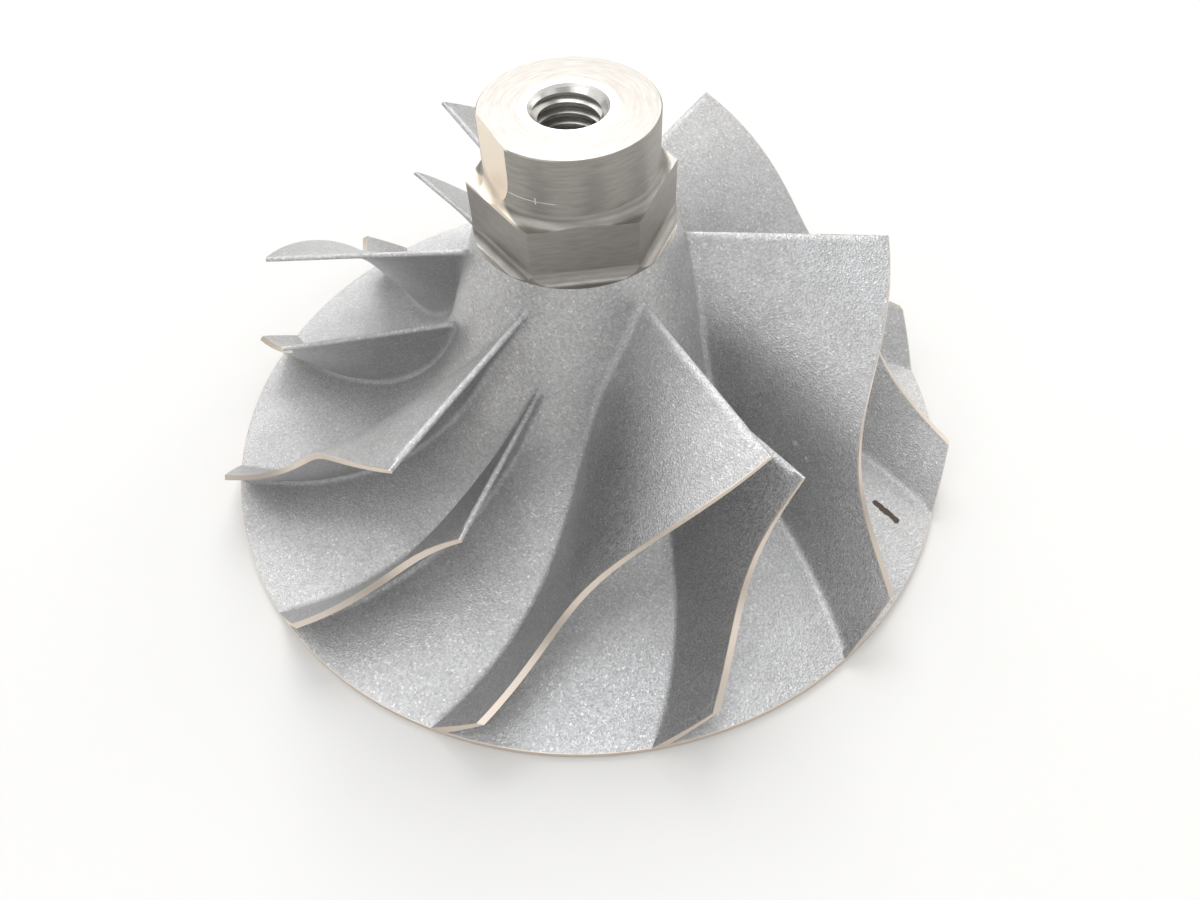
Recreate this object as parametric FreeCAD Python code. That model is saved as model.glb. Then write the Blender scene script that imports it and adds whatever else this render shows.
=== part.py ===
import FreeCAD, Part
import math
import os

# Compressor wheel of a turbocharger: one aluminium casting, turned and milled.
# Millimetres. The axis of rotation is Z, the flat back stands on z = 0 and the
# nose points up. Angles are in degrees, anticlockwise seen from the nose.

V = FreeCAD.Vector
AXIS = V(0, 0, 1)

# disc and hub
RIM_R = 49.0            # outer radius of the disc
RIM_T = 1.0             # thickness of the disc at its rim
RIM_BREAK = 0.15        # broken edge at the foot of the rim
HUB_TOP_R = 11.6        # hub radius where the hexagon starts
HUB_TOP_Z = 36.1
# below its top the hub is a cone, then one round bend and a wider one out to the rim
FLANK_END = (16.3, 21.7)    # radius and height
BEND_END = (30.4, 6.15)

# nose
HEIGHT = 50.3
HEX_AF = 20.0           # hexagon, across flats
HEX_TOP_Z = 42.7
HEX_ROUND = 1.2         # corner radius of the milling cutter
BOSS_R = 9.53           # turned boss above the hexagon
BOSS_FOOT_ROUND = 1.2
BOSS_EDGE_BREAK = 0.12

# bore: a thread in the nose, a pilot bore for the shaft below it
THREAD_R = 4.0          # wall of the threaded stretch (major radius of M8)
THREAD_LENGTH = 18.0
THREAD_MOUTH_R = 4.27   # countersink at the nose face
PILOT_R = 4.5
PILOT_MOUTH = 0.6       # chamfer at the back face

# balance cut: a bull-nosed cutter, square to the boss, drawn up out of its top
CUT_ANGLE = -160.0
CUT_FLOOR = 8.77        # distance of the flat floor from the axis
CUT_TOOL_R = 4.9
CUT_TOOL_ROUND = 1.6    # corner radius of that cutter
CUT_START_Z = 47.3      # height of the cutter's axis when it starts

# blades
FULL_BLADES = 6
FIRST_BLADE = -125.8    # leading tip of the first full blade
# blade tip: radius and height of a cubic, with the wrap angle along it
TIP_R_Z = [(36.57, 31.98), (36.83, 22.42), (34.36, 12.88), (RIM_R, 7.31)]
TIP_WRAP = [0.0, -31.7, -32.2, -44.4]
# blade root: its radius, and the wrap angle along it; its height is the hub's
ROOT_R = [12.63, 17.25, 16.52, RIM_R]
ROOT_WRAP = [4.5, -36.4, -28.4, -51.5]
# a splitter starts further down the hub and the tip line
SPLITTER_START = (0.243, 0.304)     # share of the root, share of the tip
SPLITTER_LEAD = 1.7                 # its tip leads by this angle times the share left
# thickness at the leading edge, at the thick middle and at the rim
ROOT_THICK = (0.6, 1.8, 1.3)
TIP_THICK = (0.55, 0.7, 0.55)
NOSE_SHARE = 0.36       # rounding of both leading edges, by the thinner end's thickness
THICK_BY = 0.4          # share of the length at which the middle thickness is reached
STATIONS = 12

SPARE = 3.0             # stock past every turned face, removed at the end


def bezier(poles, t):
    """Point of a cubic at t; each pole is a number or a pair."""
    w = ((1 - t) ** 3, 3 * t * (1 - t) ** 2, 3 * t * t * (1 - t), t ** 3)
    if isinstance(poles[0], tuple):
        return tuple(sum(a * p[i] for a, p in zip(w, poles)) for i in range(2))
    return sum(a * p for a, p in zip(w, poles))


def polar(r, angle, z):
    a = math.radians(angle)
    return V(r * math.cos(a), r * math.sin(a), z)


def flat(point):
    """Radius and height as a point of the XZ plane."""
    return V(point[0], 0, point[1])


def tangent_circle(start, way, end):
    """Centre of the circle that leaves start along way and passes through end."""
    side = V(-way.z, 0, way.x)
    chord = end - start
    return start + side * (chord.dot(chord) / (2 * chord.dot(side)))


def hub_circles():
    """Centres of the two round stretches, each tangent to the one before it."""
    top, flank, bend = flat((HUB_TOP_R, HUB_TOP_Z)), flat(FLANK_END), flat(BEND_END)
    first = tangent_circle(flank, (flank - top).normalize(), bend)
    spoke = (bend - first).normalize()
    second = tangent_circle(bend, V(-spoke.z, 0, spoke.x), flat((RIM_R, RIM_T)))
    return first, second


def hub_height(r):
    if r < FLANK_END[0]:
        share = (r - HUB_TOP_R) / (FLANK_END[0] - HUB_TOP_R)
        return HUB_TOP_Z + (FLANK_END[1] - HUB_TOP_Z) * share
    first, second = hub_circles()
    if r < BEND_END[0]:
        centre, on = first, flat(FLANK_END)
    else:
        centre, on = second, flat(BEND_END)
    return centre.z - math.sqrt((on - centre).Length ** 2 - (r - centre.x) ** 2)


def root_point(s):
    r = bezier(ROOT_R, s)
    return polar(r, bezier(ROOT_WRAP, s), hub_height(r))


def tip_point(u, lead):
    r, z = bezier(TIP_R_Z, u)
    return polar(r, bezier(TIP_WRAP, u) + lead * (1 - u), z)


def thickness(trio, u):
    lead, middle, rim = trio
    if u < THICK_BY:
        return lead + (middle - lead) * math.sin(u / THICK_BY * math.pi / 2)
    return rim + (middle - rim) * math.cos((u - THICK_BY) / (1 - THICK_BY) * math.pi / 2)


def blade_section(w, start, lead):
    """Slice of the blade at share w of its length: a slim quadrilateral from inside
    the hub to outside the turned tip line, centred on the straight line between them."""

    def ends(x):
        s = start[0] + (1 - start[0]) * x
        u = start[1] + (1 - start[1]) * x
        return root_point(s), tip_point(u, lead)

    root, tip = ends(w)
    before, after = ends(w - 0.01), ends(w + 0.01)
    along = (after[0] + after[1] - before[0] - before[1]) * 0.5
    rise = (tip - root).normalize()
    across = rise.cross(along).normalize()
    foot = root - rise * 1.5
    head = tip + rise * 1.0
    half_foot = across * (thickness(ROOT_THICK, w) / 2)
    half_head = across * (thickness(TIP_THICK, w) / 2)
    corners = [foot - half_foot, foot + half_foot, head + half_head, head - half_head]
    return Part.makePolygon(corners + corners[:1])


def blade(start, lead):
    """Blade before turning, leading edge rounded, tip at angle zero."""
    past_rim = 1.035
    shares = [past_rim * i / (STATIONS - 1) for i in range(STATIONS)]
    solid = Part.makeLoft([blade_section(w, start, lead) for w in shares], True, False)
    if solid.Volume < 0:
        solid.reverse()
    nose = [root_point(start[0]), tip_point(start[1], lead)]
    edges = [e for e in solid.Edges if is_nose_edge(e, nose)]
    return solid.makeFillet(NOSE_SHARE * min(ROOT_THICK[0], TIP_THICK[0]), edges)


def is_nose_edge(edge, nose):
    """True for the two long edges beside the line from root to tip."""
    line = Part.makeLine(nose[0], nose[1])
    mid = edge.valueAt((edge.FirstParameter + edge.LastParameter) / 2)
    near = Part.Vertex(mid).distToShape(line)[0] < max(ROOT_THICK[0], TIP_THICK[0])
    return near and edge.Length > 0.8 * line.Length


def wire_of(edges):
    return Part.Wire(Part.__sortEdges__(edges))


def turned(edges):
    """Solid of revolution about Z of a closed outline in the XZ plane."""
    return Part.Face(wire_of(edges)).revolve(V(0, 0, 0), AXIS, 360)


def polyline(points):
    corners = [V(r, 0, z) for r, z in points]
    return [Part.makeLine(a, b) for a, b in zip(corners, corners[1:])]


def cubic(poles):
    curve = Part.BezierCurve()
    curve.setPoles([V(r, 0, z) for r, z in poles])
    return curve


def hub_stock():
    """Disc, hub, neck and boss as turned, over size at the rim and at the back."""
    out = RIM_R + SPARE
    foot = BOSS_R + BOSS_FOOT_ROUND
    edges = [hub_arc(FLANK_END[0], BEND_END[0]), hub_arc(BEND_END[0], out)]
    edges += polyline([(out, hub_height(out)), (out, -SPARE), (0, -SPARE), (0, HEIGHT),
                       (BOSS_R - BOSS_EDGE_BREAK, HEIGHT),
                       (BOSS_R, HEIGHT - BOSS_EDGE_BREAK),
                       (BOSS_R, HEX_TOP_Z + BOSS_FOOT_ROUND)])
    edges.append(inner_round((foot, HEX_TOP_Z + BOSS_FOOT_ROUND), BOSS_FOOT_ROUND))
    edges += polyline([(foot, HEX_TOP_Z), (HUB_TOP_R, HEX_TOP_Z),
                       (HUB_TOP_R, HUB_TOP_Z), FLANK_END])
    return turned(edges)


def hub_arc(r1, r2):
    """Stretch of the hub line between two radii on the same circle."""
    points = [V(r, 0, hub_height(r)) for r in (r1, (r1 + r2) / 2, r2)]
    return Part.Arc(*points).toShape()


def inner_round(centre, radius):
    """Quarter arc from the wall left of the centre to the floor below it."""
    c = V(centre[0], 0, centre[1])
    a, b = c + V(-radius, 0, 0), c + V(0, 0, -radius)
    mid = c + V(-radius, 0, -radius) / math.sqrt(2)
    return Part.Arc(a, mid, b).toShape()


def turning_envelope():
    """What turning leaves: inside the tip line and the rim, above the back face."""
    tip = cubic(TIP_R_Z)
    top = HEIGHT + SPARE
    edges = [tip.toShape()]
    edges += polyline([TIP_R_Z[-1], (RIM_R, RIM_BREAK), (RIM_R - RIM_BREAK, 0), (0, 0),
                       (0, top), (TIP_R_Z[0][0], top), TIP_R_Z[0]])
    return turned(edges)


def hexagon_cutters():
    """Six passes of a round-cornered cutter that leave the flats and their ledges."""
    flat, reach = HEX_AF / 2, HUB_TOP_R + SPARE
    top = HEX_TOP_Z + SPARE
    edges = polyline([(flat + HEX_ROUND, HUB_TOP_Z), (reach, HUB_TOP_Z), (reach, top),
                      (flat, top), (flat, HUB_TOP_Z + HEX_ROUND)])
    edges.append(inner_round((flat + HEX_ROUND, HUB_TOP_Z + HEX_ROUND), HEX_ROUND))
    face = Part.Face(wire_of(edges))
    face.translate(V(0, -HUB_TOP_R, 0))
    cutter = face.extrude(V(0, 2 * HUB_TOP_R, 0))
    return [turned_copy(cutter, -90 + 60 * i) for i in range(6)]


def turned_copy(shape, angle):
    copy = shape.copy()
    copy.rotate(V(0, 0, 0), AXIS, angle)
    return copy


def bore():
    """Pilot bore from the back, threaded stretch at the nose, both mouths chamfered."""
    thread_end = HEIGHT - THREAD_LENGTH
    step = PILOT_R - THREAD_R
    sink = THREAD_MOUTH_R - THREAD_R
    mouth = PILOT_R + PILOT_MOUTH
    return turned(polyline([
        (0, -SPARE), (mouth, -SPARE), (mouth, 0), (PILOT_R, PILOT_MOUTH),
        (PILOT_R, thread_end - step), (THREAD_R, thread_end), (THREAD_R, HEIGHT - sink),
        (THREAD_MOUTH_R, HEIGHT), (THREAD_MOUTH_R, HEIGHT + SPARE),
        (0, HEIGHT + SPARE), (0, -SPARE)]))


def balance_cut():
    """Room that the cutter sweeps: a flat floor with a round end and rounded walls."""
    top = HEIGHT + SPARE
    left, right = V(CUT_FLOOR, -CUT_TOOL_R, CUT_START_Z), V(CUT_FLOOR, CUT_TOOL_R, CUT_START_Z)
    walls = [Part.makeLine(V(end.x, end.y, top), end) for end in (left, right)]
    low = V(CUT_FLOOR, 0, CUT_START_Z - CUT_TOOL_R)
    walls.append(Part.Arc(left, low, right).toShape())
    head = Part.makeLine(walls[0].Vertexes[0].Point, walls[1].Vertexes[0].Point)
    slot = Part.Face(wire_of(walls + [head])).extrude(V(BOSS_R, 0, 0))
    corners = [e for e in slot.Edges if on_floor(e, top)]
    return turned_copy(slot.makeFillet(CUT_TOOL_ROUND, corners), CUT_ANGLE)


def on_floor(edge, top):
    """True for the walls' edges that lie in the floor of the balance cut."""
    box = edge.BoundBox
    return box.XMax < CUT_FLOOR + CUT_TOOL_ROUND / 2 and box.ZMin < top - CUT_TOOL_ROUND


def wheel():
    full = blade((0, 0), 0)
    splitter = blade(SPLITTER_START, SPLITTER_LEAD)
    pitch = 360 / FULL_BLADES
    blades = []
    for i in range(FULL_BLADES):
        blades.append(turned_copy(full, FIRST_BLADE + i * pitch))
        blades.append(turned_copy(splitter, FIRST_BLADE + (i + 0.5) * pitch))
    casting = hub_stock().multiFuse(blades)
    body = casting.common(turning_envelope())
    body = body.cut(hexagon_cutters() + [bore(), balance_cut()])
    return body.Solids[0]


os.makedirs("parts", exist_ok=True)
wheel().exportStep("parts/compressor_wheel.step")
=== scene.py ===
"""Finish, thread turns and studio of a cast aluminium compressor wheel."""
import math

import bpy
from bpy.props import FloatProperty, IntProperty, PointerProperty, StringProperty
from mathutils import Matrix, Vector


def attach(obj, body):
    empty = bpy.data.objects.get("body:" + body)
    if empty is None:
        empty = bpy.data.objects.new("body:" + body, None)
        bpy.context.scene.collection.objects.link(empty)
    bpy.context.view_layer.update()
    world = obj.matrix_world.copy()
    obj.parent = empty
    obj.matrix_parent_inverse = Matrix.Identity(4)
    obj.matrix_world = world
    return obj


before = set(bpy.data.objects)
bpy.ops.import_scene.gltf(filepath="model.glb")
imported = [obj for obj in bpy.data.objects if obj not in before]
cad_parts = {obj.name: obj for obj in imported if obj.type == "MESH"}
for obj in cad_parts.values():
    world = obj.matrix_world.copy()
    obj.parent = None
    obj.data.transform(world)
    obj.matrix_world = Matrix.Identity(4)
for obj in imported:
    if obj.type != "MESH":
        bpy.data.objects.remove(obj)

bl_info = {
    "name": "Compressor wheel",
    "version": (1, 0, 0),
    "blender": (4, 5, 0),
    "location": "View3D > Sidebar > Wheel",
    "description": "Finish, thread turns and studio of a cast compressor wheel",
    "category": "Object",
}

MM = 0.001
PIECES = ("metal", "thread", "stage")

# the wheel's own sizes that the finish follows, in millimetres
HEIGHT = 50.3
HEXAGON_FOOT = 36.1
BOSS_RADIUS = 9.53
RIM_RADIUS = 49.0
BORE_WALL = 4.0
BORE_REACH = 5.2                # the bore and its countersink lie inside this radius
BLADE_FOOT = 7.0                # the blades' turned tips begin above this height
# turned tips of the blades, from the rim up to the inlet: height, radius
TIP_LINE = [(7.31, 49.0), (8.35, 46.5), (9.55, 44.3), (12.15, 40.9), (15.0, 38.7),
            (18.1, 37.38), (21.4, 36.75), (24.85, 36.56), (32.0, 36.57)]

# the balance cut in the boss: which way it faces, its straight wall and its round lower end
CUT_ANGLE = math.radians(-160.0)
CUT_WALL, CUT_WALL_FROM = (42.9, HEIGHT - 0.02), 8.6
CUT_END, CUT_END_FROM = (42.3, 43.9), 9.2

# small marks, in millimetres
INK_DASH = ((35.75, -21.6), (37.75, -24.15))                                  # start and end
INK_HALF_WIDTH, INK_RAGGED = 0.46, 0.5
PARTING_HEIGHT, PARTING_HALF_WIDTH, PARTING_REACH = 29.0, 0.12, (12.0, 14.6)
TOOL_LINE, TOOL_REACH = (45.27, 45.36), (-7.1, -2.6)                          # in height, along X
TOOL_TICK, TICK_REACH = (45.0, 45.75), (-4.62, -4.48)
KNOCKS = [((23.72, -19.12, 14.34), 0.34), ((24.78, -20.84, 13.35), 0.2)]      # place, radius

# how rough each surface is, and how deep its relief
CAST_ROUGH, GRAIN_ROUGH, GLINT_ROUGH = 0.54, -0.16, -0.1                      # skin, then what grain and glint add
TURNED_ROUGH, TIP_ROUGH, CUT_ROUGH, THREAD_ROUGH, PAPER_ROUGH = 0.39, 0.38, 0.5, 0.25, 0.9
RELIEF_DEPTH, RELIEF_STRENGTH, RING_SHARE, SEAM_SHARE = 0.05, 0.6, 0.02, 0.12
# the glinting grains are also painted lighter in colour by this share: a painted glint, beside their real lower
# roughness
GLINTS_FROM, PAINTED_GLINT_SHARE = 0.96, 0.6                                          # one grain in twenty-five glints

# thread form: flank, flat of the crest as a share of the pitch, and the countersink's cone
THREAD_FLANK, CREST_FLAT = math.radians(30), 1 / 8
SINK_LOW, SINK_HIGH, SINK_DEPTH, SINK_DROP = 2.6, 5.6, 3.0, 0.17

# softboxes: name, azimuth, elevation, width in degrees, strength, colour
WHITE = (1.0, 1.0, 1.0)
LAMPS = (
    ("overhead", 0, 88, 32, 0.43, (0.94, 0.98, 1.0)),
    ("high back", 88, 50, 38, 1.65, WHITE),
    ("back left", 135, 45, 45, 0.35, WHITE),
    ("left", 180, 60, 50, 0.33, WHITE),
    ("front left", 225, 45, 45, 0.46, WHITE),
    ("front", 285, 30, 45, 0.24, WHITE),
    ("front right", 325, 35, 45, 0.31, WHITE),
    ("right", 20, 25, 40, 0.35, WHITE),
    ("back right", 45, 40, 45, 0.24, (1.0, 0.98, 0.92)),
)
FLOOR_SIZE = 4.0                # metres

CAMERA_EYE = Vector((-6.55, -83.004, 101.346)) * MM
CAMERA_AIM = Vector((-0.669, -24.363, 24.5)) * MM
CAMERA_ROLL, CAMERA_LENS, CAMERA_SENSOR = -0.0405, 27.008, 36.0


def linear(hex_colour):
    """sRGB hex value as the linear colour that Blender works in."""
    parts = [int(hex_colour[i:i + 2], 16) / 255 for i in (1, 3, 5)]
    return [c / 12.92 if c <= 0.04045 else ((c + 0.055) / 1.055) ** 2.4 for c in parts] + [1.0]


class WheelSizes(bpy.types.PropertyGroup):
    """Sizes of the thread and of the surface's fine relief"""
    thread_pitch: FloatProperty(name="Thread pitch", description="Rise of the nose thread per turn",
                                default=1.25 * MM, unit="LENGTH", precision=5)
    thread_crest: FloatProperty(name="Thread crest radius", description="Inner radius of the thread turns",
                                default=3.32 * MM, unit="LENGTH", precision=5)
    thread_turns: IntProperty(name="Thread turns", description="Turns below the countersink", default=14, min=1)
    grain: FloatProperty(name="Casting grain", description="Width of one grain of the cast skin",
                         default=0.22 * MM, unit="LENGTH", precision=5)
    root_round: FloatProperty(name="Root round", description="Radius of the moulded roots and leading edges",
                              default=1.4 * MM, unit="LENGTH", precision=5)
    tool_feed: FloatProperty(name="Tool feed", description="Spacing of the turning marks",
                             default=0.25 * MM, unit="LENGTH", precision=5)


class WheelColours(bpy.types.PropertyGroup):
    """Colours of the metal, the marks and the studio"""
    cast_skin: StringProperty(name="Cast skin", description="sRGB value of the cast surface", default="#DBDBDC")
    cast_hollow: StringProperty(name="Grain hollows", description="sRGB value between the grains",
                                default="#B1B0B0")
    # turned metal is painted darker and warmer than the skin: a painted reflection of the dark warm surroundings
    # its sides face, over the real smoother cut
    turned: StringProperty(name="Turned metal", description="sRGB value of turned surfaces", default="#A7A39E")
    turned_line: StringProperty(name="Turning lines", description="sRGB value of the lines on them",
                                default="#9A9691")
    # the cream of the blade tips and rim is lighter cut metal, and its warm tint is a painted warm reflection
    tips: StringProperty(name="Turned tips", description="sRGB value of the blade tips and the rim",
                         default="#DED2C5")
    # the balance cut is painted near-white cream: fresh cut metal, with its cream tint a painted warm reflection
    fresh_cut_and_reflection: StringProperty(name="Fresh cut", description="sRGB value of the balance cut", default="#F7EBDB")
    scratch: StringProperty(name="Scratches", description="sRGB value of bare metal in a scratch",
                            default="#F2F0EC")
    # also painted over the bore and countersink of the cast metal: cut metal, and partly a painted highlight for
    # their glints
    thread: StringProperty(name="Thread metal", description="sRGB value of the tapped thread", default="#E2E0DC")
    ink: StringProperty(name="Marker ink", description="sRGB value of the inspector's dash", default="#5E554D")
    floor: StringProperty(name="Floor", description="sRGB value of the floor", default="#E4E3E1")
    backdrop: StringProperty(name="Backdrop", description="sRGB value of the room round the floor",
                             default="#A3A3A3")


def sizes():
    return bpy.context.scene.wheel_sizes


def colours():
    return bpy.context.scene.wheel_colours


def add(tree, kind, links=None, **settings):
    """Adds a node, sets its attributes and input values, and links its inputs."""
    node = tree.nodes.new(kind)
    for key, value in settings.items():
        setattr(node, key, value)
    for key, source in (links or {}).items():
        socket = node.inputs[key]
        if isinstance(source, bpy.types.NodeSocket):
            tree.links.new(source, socket)
        else:
            socket.default_value = source
    return node


def math_node(tree, operation, *values, clamp=False):
    return add(tree, "ShaderNodeMath", dict(enumerate(values)), operation=operation,
               use_clamp=clamp).outputs[0]


def paint_over(tree, mask, under, over):
    """One colour laid over another where the mask is 1."""
    return add(tree, "ShaderNodeMix", {0: mask, 6: under, 7: over}, data_type="RGBA").outputs[2]


def distance(tree, point, place):
    return add(tree, "ShaderNodeVectorMath", {0: point, 1: place}, operation="DISTANCE").outputs["Value"]


def new_material(name):
    material = bpy.data.materials.new(name)
    material.use_nodes = True
    tree = material.node_tree
    return material, tree, tree.nodes["Principled BSDF"]


def above(tree, value, edge, soft):
    """0 below the edge, 1 above it, blended over the soft width; both in millimetres."""
    return add(tree, "ShaderNodeMapRange", {0: value, 1: (edge - soft / 2) * MM, 2: (edge + soft / 2) * MM},
               interpolation_type="SMOOTHSTEP").outputs[0]


def invert(tree, mask):
    return math_node(tree, "SUBTRACT", 1.0, mask)


def below(tree, value, edge, soft):
    return invert(tree, above(tree, value, edge, soft))


def within(tree, value, low, high, soft):
    """1 between two edges in millimetres, 0 outside them."""
    return math_node(tree, "SUBTRACT", above(tree, value, low, soft), above(tree, value, high, soft))


def combine(tree, operation, masks):
    total = masks[0]
    for mask in masks[1:]:
        total = math_node(tree, operation, total, mask)
    return total


def any_of(tree, *masks):
    """1 where one of the masks is."""
    return combine(tree, "MAXIMUM", masks)


def all_of(tree, *masks):
    """1 where all the masks are."""
    return combine(tree, "MULTIPLY", masks)


def curve(tree, value, line):
    """The value read off along a line of (input, output) points in millimetres, in metres."""
    (x0, x1), ys = (line[0][0], line[-1][0]), [y for _, y in line]
    y0, y1 = min(ys), max(ys)
    share = add(tree, "ShaderNodeMapRange", {0: value, 1: x0 * MM, 2: x1 * MM}).outputs[0]
    node = add(tree, "ShaderNodeFloatCurve", {"Value": share})
    spots = [((x - x0) / (x1 - x0), (y - y0) / (y1 - y0)) for x, y in line]
    points = node.mapping.curves[0].points
    points[0].location, points[1].location = spots[0], spots[-1]
    for spot in spots[1:-1]:
        points.new(*spot)
    node.mapping.update()
    return math_node(tree, "MULTIPLY_ADD", node.outputs[0], (y1 - y0) * MM, y0 * MM)


def wheel_position(tree):
    """The surface point, its three axes, its place seen along the wheel's axis, and its radius."""
    place = add(tree, "ShaderNodeTexCoord").outputs["Object"]
    axes = add(tree, "ShaderNodeSeparateXYZ", {0: place}).outputs
    level = add(tree, "ShaderNodeCombineXYZ", {0: axes[0], 1: axes[1]}).outputs[0]
    r = add(tree, "ShaderNodeVectorMath", {0: level}, operation="LENGTH").outputs["Value"]
    return place, axes, level, r


def turned_masks(tree, axes, r):
    """Where tools have cut the casting: tips and rim, all cut surfaces, the balance cut, the bore."""
    x, y, z = axes[0], axes[1], axes[2]
    at_tip = above(tree, math_node(tree, "SUBTRACT", r, curve(tree, z, TIP_LINE)), -0.1, 0.05)
    on_blade = all_of(tree, at_tip, above(tree, z, BLADE_FOOT, 0.1))
    tips = any_of(tree, on_blade, above(tree, r, RIM_RADIUS - 0.1, 0.05))
    nose = above(tree, z, HEXAGON_FOOT - 0.05, 0.05)
    back = below(tree, z, 0.05, 0.05)
    # the bore mask also paints bore and countersink as light as the thread, partly a painted highlight
    bore = below(tree, r, BORE_REACH, 0.05)
    toward_cut = math_node(tree, "MULTIPLY_ADD", x, math.cos(CUT_ANGLE),
                           math_node(tree, "MULTIPLY", y, math.sin(CUT_ANGLE)))
    wall = all_of(tree, within(tree, z, *CUT_WALL, 0.02), above(tree, toward_cut, CUT_WALL_FROM, 0.05),
                  below(tree, r, BOSS_RADIUS - 0.03, 0.04))
    end = all_of(tree, within(tree, z, *CUT_END, 0.2), above(tree, toward_cut, CUT_END_FROM, 0.3))
    return tips, any_of(tree, tips, nose, back, bore), any_of(tree, wall, end), bore


def soft_form_mask(tree, r, z):
    """Where the mould was rounded: blade roots and leading edges, but no turned edge."""
    from_tip = math_node(tree, "SUBTRACT", curve(tree, z, TIP_LINE), r)
    off_tip = any_of(tree, above(tree, from_tip, 1.3, 0.6), below(tree, z, BLADE_FOOT, 1.0))
    inside_rim = below(tree, r, RIM_RADIUS - 0.9, 0.6)
    off_bore = above(tree, r, 8.0, 0.5)
    below_hexagon = below(tree, z, HEXAGON_FOOT - 1.4, 0.8)
    return all_of(tree, off_tip, inside_rim, off_bore, below_hexagon)


def mark_masks(tree, place, axes):
    """Small light scratches: the tool's line and tick on the boss, and two knocks on a blade."""
    x, y, z = axes[0], axes[1], axes[2]
    arc = all_of(tree, within(tree, z, *TOOL_LINE, 0.04), within(tree, x, *TOOL_REACH, 0.8))
    tick = all_of(tree, within(tree, z, *TOOL_TICK, 0.1), within(tree, x, *TICK_REACH, 0.06))
    front = below(tree, y, -4.0, 0.5)
    nose = above(tree, z, 43.0, 0.1)
    on_boss = math_node(tree, "MULTIPLY", all_of(tree, any_of(tree, arc, tick), front, nose), 0.8)
    knocks = [below(tree, distance(tree, place, Vector(spot) * MM), size, 0.1) for spot, size in KNOCKS]
    return any_of(tree, on_boss, *knocks)


def ink_mask(tree, place, level):
    """One short stroke on the disc, with a ragged edge."""
    (ax, ay), (bx, by) = INK_DASH
    start, way = Vector((ax, ay, 0)) * MM, Vector((bx - ax, by - ay, 0)) * MM
    offset = add(tree, "ShaderNodeVectorMath", {0: level, 1: start}, operation="SUBTRACT").outputs[0]
    dot = add(tree, "ShaderNodeVectorMath", {0: offset, 1: way / way.length_squared}, operation="DOT_PRODUCT")
    share = math_node(tree, "MULTIPLY", dot.outputs["Value"], 1.0, clamp=True)
    on_line = add(tree, "ShaderNodeVectorMath", {0: way, "Scale": share}, operation="SCALE").outputs[0]
    ragged = add(tree, "ShaderNodeTexNoise", {"Vector": place, "Scale": 1 / (0.7 * MM), "Detail": 3.0}).outputs[0]
    edge = math_node(tree, "MULTIPLY_ADD", math_node(tree, "SUBTRACT", ragged, 0.5), INK_RAGGED * MM,
                     distance(tree, offset, on_line))
    return below(tree, edge, INK_HALF_WIDTH, 0.14)


def skin_grain(tree, place):
    """Each grain of the mould's sand: its shade and tilt, how it stands out, and whether it glints.
    Blasted skin has grains of about 0.1 mm, too fine to show, so they are drawn twice as wide."""
    grain = add(tree, "ShaderNodeTexVoronoi", {"Vector": place, "Scale": 1 / sizes().grain})
    shade = add(tree, "ShaderNodeSeparateColor", {0: grain.outputs["Color"]}).outputs
    glint = above(tree, math_node(tree, "MULTIPLY", shade[2], MM), GLINTS_FROM, 0.08)
    return shade, grain.outputs["Distance"], glint


def turning_lines(tree, axes, across):
    """Fine lines that the tool leaves round the nose, each a little lighter or darker."""
    stretched = [math_node(tree, "MULTIPLY", axis, 0.12) for axis in axes[:2]]
    along = add(tree, "ShaderNodeCombineXYZ", {0: stretched[0], 1: stretched[1], 2: across}).outputs[0]
    line = add(tree, "ShaderNodeTexNoise", {"Vector": along, "Scale": 1 / sizes().tool_feed, "Detail": 4.0})
    return add(tree, "ShaderNodeMapRange", {0: line.outputs[0], 1: 0.35, 2: 0.65}).outputs[0]


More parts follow.
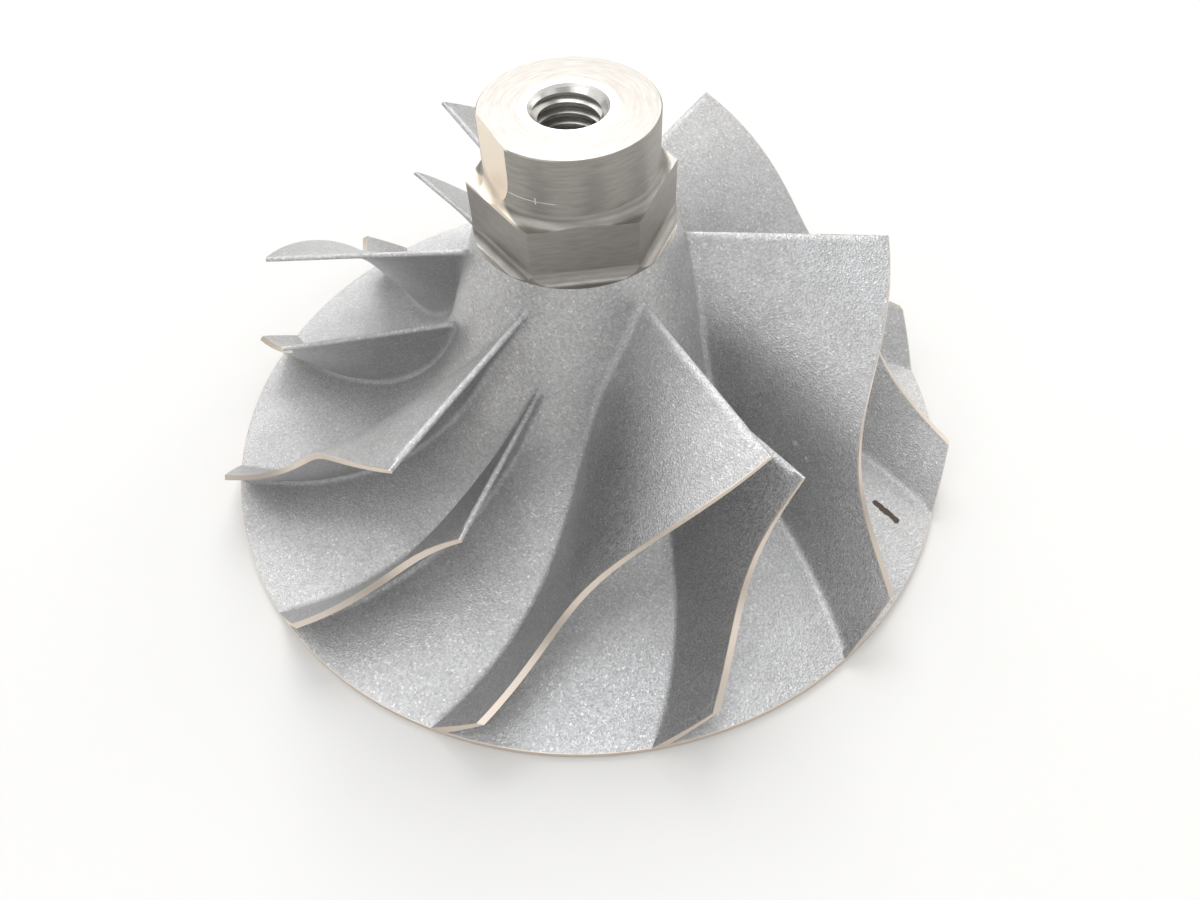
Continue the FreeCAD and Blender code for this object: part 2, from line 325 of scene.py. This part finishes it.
def cast_aluminium():
    """Sand-cast and blasted aluminium: a neutral grey skin whose fine grains glint one by one,
    by a lower roughness and by a painted glint, one grain in twenty-five painted lighter. Where a
    tool has cut it (boss, hexagon, blade tips, rim, back) the metal is smoother, with fine lines at the
    tool's feed, and it is painted darker and a little warmer there: a painted reflection of dark warm
    surroundings. The tips, the rim and the balance cut are painted cream, partly a painted warm
    reflection. The blades meet the hub in a soft root."""
    s, c = sizes(), colours()
    material, tree, shader = new_material("cast and turned aluminium")
    place, axes, level, r = wheel_position(tree)
    z = axes[2]
    tips, turned, cut, bore = turned_masks(tree, axes, r)
    shade, grain_height, glint = skin_grain(tree, place)
    # the tool moves outwards on the two end faces and along the axis everywhere else
    on_end = any_of(tree, above(tree, z, HEIGHT - 0.3, 0.2), below(tree, z, 0.3, 0.2))
    across = math_node(tree, "MULTIPLY_ADD", r, on_end, z)

    # colour: skin, turned metal over it, then the single places and marks
    cloud = add(tree, "ShaderNodeTexNoise", {"Vector": place, "Scale": 1 / (5 * MM), "Detail": 3.0}).outputs[0]
    mixed = math_node(tree, "MULTIPLY_ADD", shade[0], 0.6, math_node(tree, "MULTIPLY", cloud, 0.5))
    colour = paint_over(tree, mixed, linear(c.cast_skin), linear(c.cast_hollow))
    # painted glint: one grain in twenty-five is painted lighter, toward the scratch colour
    colour = paint_over(tree, math_node(tree, "MULTIPLY", glint, PAINTED_GLINT_SHARE), colour, linear(c.scratch))
    # turned metal painted darker and warmer than the skin, a painted reflection of dark warm surroundings, with
    # real turning lines
    lined = paint_over(tree, turning_lines(tree, axes, across), linear(c.turned), linear(c.turned_line))
    colour = paint_over(tree, turned, colour, lined)
    # painted over the skin: tips and rim cream and the balance cut near-white cream, their warm tint a painted warm
    # reflection
    for mask, paint in ((bore, c.thread), (tips, c.tips), (cut, c.fresh_cut_and_reflection),
                        (mark_masks(tree, place, axes), c.scratch), (ink_mask(tree, place, level), c.ink)):
        colour = paint_over(tree, mask, colour, linear(paint))
    tree.links.new(colour, shader.inputs["Base Color"])

    rough = math_node(tree, "MULTIPLY_ADD", shade[1], GRAIN_ROUGH, CAST_ROUGH)
    rough = math_node(tree, "MULTIPLY_ADD", glint, GLINT_ROUGH, rough)
    for mask, value in ((turned, TURNED_ROUGH), (tips, TIP_ROUGH), (cut, CUT_ROUGH)):
        rough = add(tree, "ShaderNodeMix", {0: mask, 2: rough, 3: value}).outputs[0]
    tree.links.new(rough, shader.inputs["Roughness"])
    shader.inputs["Metallic"].default_value = 1.0

    # relief: grains and the parting line on the cast skin, rings on the turned metal
    ring = math_node(tree, "SINE", math_node(tree, "MULTIPLY", across, math.tau / s.tool_feed))
    rise = math_node(tree, "SUBTRACT", z, PARTING_HEIGHT * MM)
    seam = all_of(tree, within(tree, rise, -PARTING_HALF_WIDTH, PARTING_HALF_WIDTH, 0.12),
                  math_node(tree, "MULTIPLY", within(tree, r, *PARTING_REACH, 0.2), SEAM_SHARE))
    on_skin = all_of(tree, invert(tree, turned), math_node(tree, "ADD", grain_height, seam))
    on_turned = all_of(tree, turned, math_node(tree, "MULTIPLY", ring, RING_SHARE))
    height = math_node(tree, "ADD", on_skin, on_turned)
    soft = add(tree, "ShaderNodeBevel", {"Radius": s.root_round}, samples=6).outputs[0]
    flat = add(tree, "ShaderNodeNewGeometry").outputs["Normal"]
    form = add(tree, "ShaderNodeMix", {0: soft_form_mask(tree, r, z), 4: flat, 5: soft},
               data_type="VECTOR").outputs[1]
    bump = add(tree, "ShaderNodeBump", {"Height": height, "Distance": RELIEF_DEPTH * MM,
                                        "Strength": RELIEF_STRENGTH, "Normal": form})
    tree.links.new(bump.outputs[0], shader.inputs["Normal"])
    return material


def tapped_aluminium():
    """Aluminium cut by a tap: bright crests, no grain."""
    material, _, shader = new_material("tapped aluminium")
    shader.inputs["Base Color"].default_value = linear(colours().thread)
    shader.inputs["Metallic"].default_value = 1.0
    shader.inputs["Roughness"].default_value = THREAD_ROUGH
    return material


def floor_paper():
    """Matt uncoated paper, pale all over: no gloss, and the wheel's shadow lies soft on it.
    The metal sees it as bright as the eye does."""
    material, _, shader = new_material("matt pale paper")
    shader.inputs["Base Color"].default_value = linear(colours().floor)
    shader.inputs["Roughness"].default_value = PAPER_ROUGH
    return material


def start_mesh(operator, **settings):
    """Adds a primitive with nothing else selected and returns it."""
    bpy.ops.object.select_all(action="DESELECT")
    operator(**settings)
    return bpy.context.object


def finish_mesh(piece, name, material):
    """Place and turn go into the mesh, and the piece gets its name and material."""
    bpy.ops.object.select_all(action="DESELECT")
    piece.select_set(True)
    bpy.context.view_layer.objects.active = piece
    bpy.ops.object.transform_apply(location=True, rotation=True, scale=True)
    piece.name = name
    piece.data.materials.clear()
    piece.data.materials.append(material)
    return piece


def thread_tooth(wall, crest, pitch, height):
    """Outline of one tooth, standing on the bore's wall: a wide foot and a narrow crest."""
    deep, flat = wall - crest, pitch * CREST_FLAT
    foot = 2 * deep * math.tan(THREAD_FLANK) + flat
    middle = Vector((crest + deep / 2, 0, height))
    tooth = start_mesh(bpy.ops.mesh.primitive_plane_add, size=1, location=middle, rotation=(math.pi / 2, 0, 0))
    bpy.ops.object.transform_apply(location=True, rotation=True, scale=True)
    bpy.ops.object.mode_set(mode="EDIT")
    bpy.ops.mesh.select_all(action="SELECT")
    bpy.ops.transform.resize(value=(deep, 1, foot), center_override=middle)
    bpy.ops.mesh.select_mode(type="VERT")
    bpy.ops.mesh.select_all(action="DESELECT")
    bpy.ops.object.mode_set(mode="OBJECT")
    for vertex in tooth.data.vertices:
        vertex.select = vertex.co.x < middle.x
    bpy.ops.object.mode_set(mode="EDIT")
    bpy.ops.transform.resize(value=(1, 1, flat / foot), center_override=(crest, 0, height))
    bpy.ops.mesh.select_all(action="SELECT")
    bpy.ops.mesh.delete(type="ONLY_FACE")
    bpy.ops.object.mode_set(mode="OBJECT")
    return tooth


class WHEEL_OT_metal(bpy.types.Operator):
    """Give the wheel its cast skin and its turned surfaces"""
    bl_idname = "wheel.metal"
    bl_label = "Wheel metal"

    def execute(self, context):
        metal = cast_aluminium()
        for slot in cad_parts["compressor_wheel"].material_slots:
            slot.material = metal
        return {"FINISHED"}


class WHEEL_OT_thread(bpy.types.Operator):
    """Cut the thread turns into the nose"""
    bl_idname = "wheel.thread"
    bl_label = "Nose thread"

    def execute(self, context):
        s = sizes()
        start = HEIGHT * MM - (s.thread_turns - 0.4) * s.thread_pitch
        # the tooth stands 0.02 mm in the wall, so that no gap shows
        piece = thread_tooth((BORE_WALL + 0.02) * MM, s.thread_crest, s.thread_pitch, start)
        turn = piece.modifiers.new("turns", "SCREW")
        turn.axis = "Z"
        turn.angle = math.tau
        turn.screw_offset = s.thread_pitch
        turn.iterations = s.thread_turns
        turn.steps = turn.render_steps = 48
        bpy.ops.object.modifier_apply(modifier=turn.name)
        bpy.ops.object.mode_set(mode="EDIT")
        bpy.ops.mesh.select_all(action="SELECT")
        bpy.ops.mesh.remove_doubles(threshold=1e-7)
        bpy.ops.mesh.fill_holes(sides=4)
        bpy.ops.mesh.select_all(action="SELECT")
        bpy.ops.mesh.normals_make_consistent(inside=False)
        bpy.ops.object.mode_set(mode="OBJECT")
        # the countersink takes the first turn away
        sink = start_mesh(bpy.ops.mesh.primitive_cone_add, vertices=96, radius1=SINK_LOW * MM,
                          radius2=SINK_HIGH * MM, depth=SINK_DEPTH * MM, location=(0, 0, (HEIGHT - SINK_DROP) * MM))
        context.view_layer.objects.active = piece
        cut = piece.modifiers.new("countersink", "BOOLEAN")
        cut.operation = "DIFFERENCE"
        cut.object = sink
        cut.solver = "EXACT"
        bpy.ops.object.modifier_apply(modifier=cut.name)
        bpy.data.objects.remove(sink)
        finish_mesh(piece, "thread_turns", tapped_aluminium())
        bpy.ops.object.shade_smooth_by_angle(angle=math.radians(25))
        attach(piece, "root")
        return {"FINISHED"}


def softbox(name, azimuth, elevation, spread, strength, colour):
    """Round soft lamp a metre away; strength is its brightness as the wheel sees it."""
    a, e, half = math.radians(azimuth), math.radians(elevation), math.radians(spread / 2)
    data = bpy.data.lights.new(name, "AREA")
    data.shape = "DISK"
    data.size = 2 * math.tan(half)
    area = math.pi * math.tan(half) ** 2
    data.energy = strength * math.pi * area / (math.tau * (1 - math.cos(half)))
    data.color = colour
    light = bpy.data.objects.new(name, data)
    bpy.context.collection.objects.link(light)
    light.location = (math.cos(e) * math.cos(a), math.cos(e) * math.sin(a), math.sin(e))
    light.rotation_euler = light.location.to_track_quat("Z", "Y").to_euler()


class WHEEL_OT_stage(bpy.types.Operator):
    """Set the floor, the lamps and the camera"""
    bl_idname = "wheel.stage"
    bl_label = "Studio"

    def execute(self, context):
        floor = start_mesh(bpy.ops.mesh.primitive_plane_add, size=FLOOR_SIZE)
        finish_mesh(floor, "floor", floor_paper())

        world = bpy.data.worlds.new("studio")
        context.scene.world = world
        world.use_nodes = True
        world.node_tree.nodes["Background"].inputs["Color"].default_value = linear(colours().backdrop)
        for lamp in LAMPS:
            softbox(*lamp)

        camera = bpy.data.cameras.new("camera")
        camera.lens = CAMERA_LENS
        camera.sensor_width = CAMERA_SENSOR
        camera.clip_start = 0.005
        camera.clip_end = 20.0
        view = bpy.data.objects.new("camera", camera)
        context.collection.objects.link(view)
        turn = (CAMERA_AIM - CAMERA_EYE).to_track_quat("-Z", "Y").to_matrix().to_4x4()
        view.matrix_world = Matrix.Translation(CAMERA_EYE) @ turn @ Matrix.Rotation(CAMERA_ROLL, 4, "Z")
        context.scene.camera = view
        context.scene.view_settings.view_transform = "Standard"
        return {"FINISHED"}


class WHEEL_PT_panel(bpy.types.Panel):
    """Sizes, colours and the operators that build the pieces"""
    bl_idname = "WHEEL_PT_panel"
    bl_label = "Compressor wheel"
    bl_space_type = "VIEW_3D"
    bl_region_type = "UI"
    bl_category = "Wheel"

    def draw(self, context):
        for group in (context.scene.wheel_sizes, context.scene.wheel_colours):
            for name in group.__annotations__:
                self.layout.prop(group, name)
        for name in PIECES:
            self.layout.operator("wheel." + name)


CLASSES = (WheelSizes, WheelColours, WHEEL_OT_metal, WHEEL_OT_thread, WHEEL_OT_stage, WHEEL_PT_panel)


def register():
    for cls in CLASSES:
        bpy.utils.register_class(cls)
    bpy.types.Scene.wheel_sizes = PointerProperty(type=WheelSizes)
    bpy.types.Scene.wheel_colours = PointerProperty(type=WheelColours)


def unregister():
    del bpy.types.Scene.wheel_sizes
    del bpy.types.Scene.wheel_colours
    for cls in reversed(CLASSES):
        bpy.utils.unregister_class(cls)


def main():
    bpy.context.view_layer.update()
    register()
    for name in PIECES:
        getattr(bpy.ops.wheel, name)()


if __name__ == "__main__":
    main()
